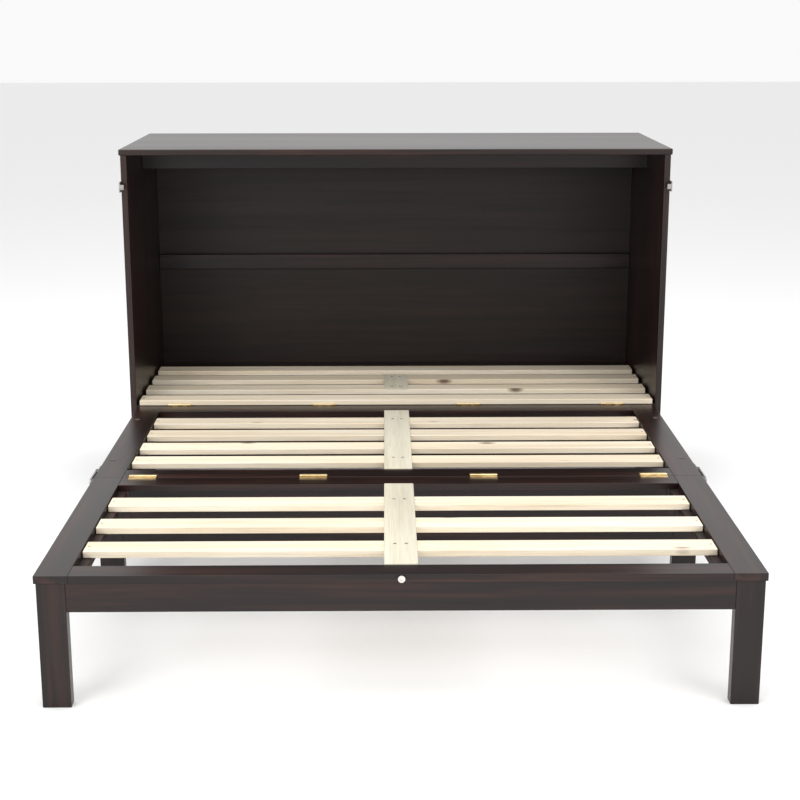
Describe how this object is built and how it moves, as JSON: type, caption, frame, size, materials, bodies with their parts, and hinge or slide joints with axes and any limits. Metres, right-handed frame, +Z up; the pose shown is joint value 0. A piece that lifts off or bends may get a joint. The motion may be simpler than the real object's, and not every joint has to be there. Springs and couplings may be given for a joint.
{
  "type": "murphy wall bed",
  "caption": "Free-standing cabinet bed: slatted deck in hinged sections that fold up into an open-front wooden cabinet, with folding leg frames and side latches.",
  "frame": {"origin": "on the floor under the middle of the opened bed", "axes": "+X across the bed, +Y from the foot towards the cabinet back, +Z up"},
  "size_m": [1.65, 2.133, 1.095],
  "materials": {
    "espresso_wood": "satin dark espresso stain",
    "back_board": "satin dark stain",
    "pine_slats": "bare planed pine",
    "pine_cleats": "stained pine",
    "centre_ply": "bare plywood",
    "brass_hinges": "satin",
    "latch_steel": "dull",
    "knob_nickel": "polished nickel",
    "caps": "dark brown",
    "glides": "black"
  },
  "bodies": {
    "cabinet": {"back_panel": "back_board", "cabinet_glides": "glides", "cabinet_hinge_leaves": "brass_hinges", "cabinet_top": "espresso_wood", "latch_catches": "latch_steel", "mid_back_rail": "espresso_wood", "rear_back_rail": "espresso_wood", "rear_center_board": "centre_ply", "rear_cleats": "pine_cleats", "rear_front_rail": "espresso_wood", "rear_slat_1": "pine_slats", "rear_slat_2": "pine_slats", "rear_slat_3": "pine_slats", "rear_slat_4": "pine_slats", "side_panel_left": "espresso_wood", "side_panel_right": "espresso_wood", "sill_apron": "espresso_wood", "top_stretcher": "espresso_wood"},
    "middle_section": {"deck_hinge_pins": "brass_hinges", "latch_bases": "latch_steel", "middle_center_board": "centre_ply", "middle_cleats": "pine_cleats", "middle_front_leaves": "brass_hinges", "middle_front_rail": "espresso_wood", "middle_leg_hinges": "brass_hinges", "middle_rear_leaves": "brass_hinges", "middle_rear_rail": "espresso_wood", "middle_side_rail_left": "espresso_wood", "middle_side_rail_right": "espresso_wood", "middle_slat_1": "pine_slats", "middle_slat_2": "pine_slats", "middle_slat_3": "pine_slats", "middle_slat_4": "pine_slats", "rail_caps": "caps"},
    "foot_leg_frame": {"foot_apron": "espresso_wood", "foot_leg_leaves": "brass_hinges", "foot_leg_left": "espresso_wood", "foot_leg_right": "espresso_wood"},
    "front_section": {"foot_leg_hinges": "brass_hinges", "foot_rail": "espresso_wood", "front_center_board": "centre_ply", "front_cleats": "pine_cleats", "front_hinge_leaves": "brass_hinges", "front_rear_rail": "espresso_wood", "front_side_rail_left": "espresso_wood", "front_side_rail_right": "espresso_wood", "front_slat_1": "pine_slats", "front_slat_2": "pine_slats", "front_slat_3": "pine_slats", "latch_keepers": "latch_steel", "pull_knob": "knob_nickel"},
    "latch_left": {"latch_lever_left": "latch_steel"},
    "latch_right": {"latch_lever_right": "latch_steel"},
    "middle_leg_frame": {"middle_leg_blocks": "espresso_wood", "middle_leg_leaves": "brass_hinges", "middle_leg_left": "espresso_wood", "middle_leg_panel": "espresso_wood", "middle_leg_right": "espresso_wood"}
  },
  "joints": [
    {"name": "middle_fold", "type": "hinge", "parent": "cabinet", "child": "middle_section", "pos_m": [0, 0.4345, 0.3132], "axis": [-1, 0, 0], "range_deg": [0, 90]},
    {"name": "front_fold", "type": "hinge", "parent": "middle_section", "child": "front_section", "pos_m": [0, -0.3235, 0.3132], "axis": [-1, 0, 0], "range_deg": [0, 180]},
    {"name": "middle_legs_fold", "type": "hinge", "parent": "middle_section", "child": "middle_leg_frame", "pos_m": [0, -0.2813, 0.2888], "axis": [1, 0, 0], "range_deg": [0, 90]},
    {"name": "foot_legs_fold", "type": "hinge", "parent": "front_section", "child": "foot_leg_frame", "pos_m": [0, -1.0163, 0.2888], "axis": [1, 0, 0], "range_deg": [0, 90]},
    {"name": "latch_left_swing", "type": "hinge", "parent": "middle_section", "child": "latch_left", "pos_m": [-0.8038, -0.2375, 0.301], "axis": [1, 0, 0], "range_deg": [0, 90]},
    {"name": "latch_right_swing", "type": "hinge", "parent": "middle_section", "child": "latch_right", "pos_m": [0.8038, -0.2375, 0.301], "axis": [1, 0, 0], "range_deg": [0, 90]}
  ]
}
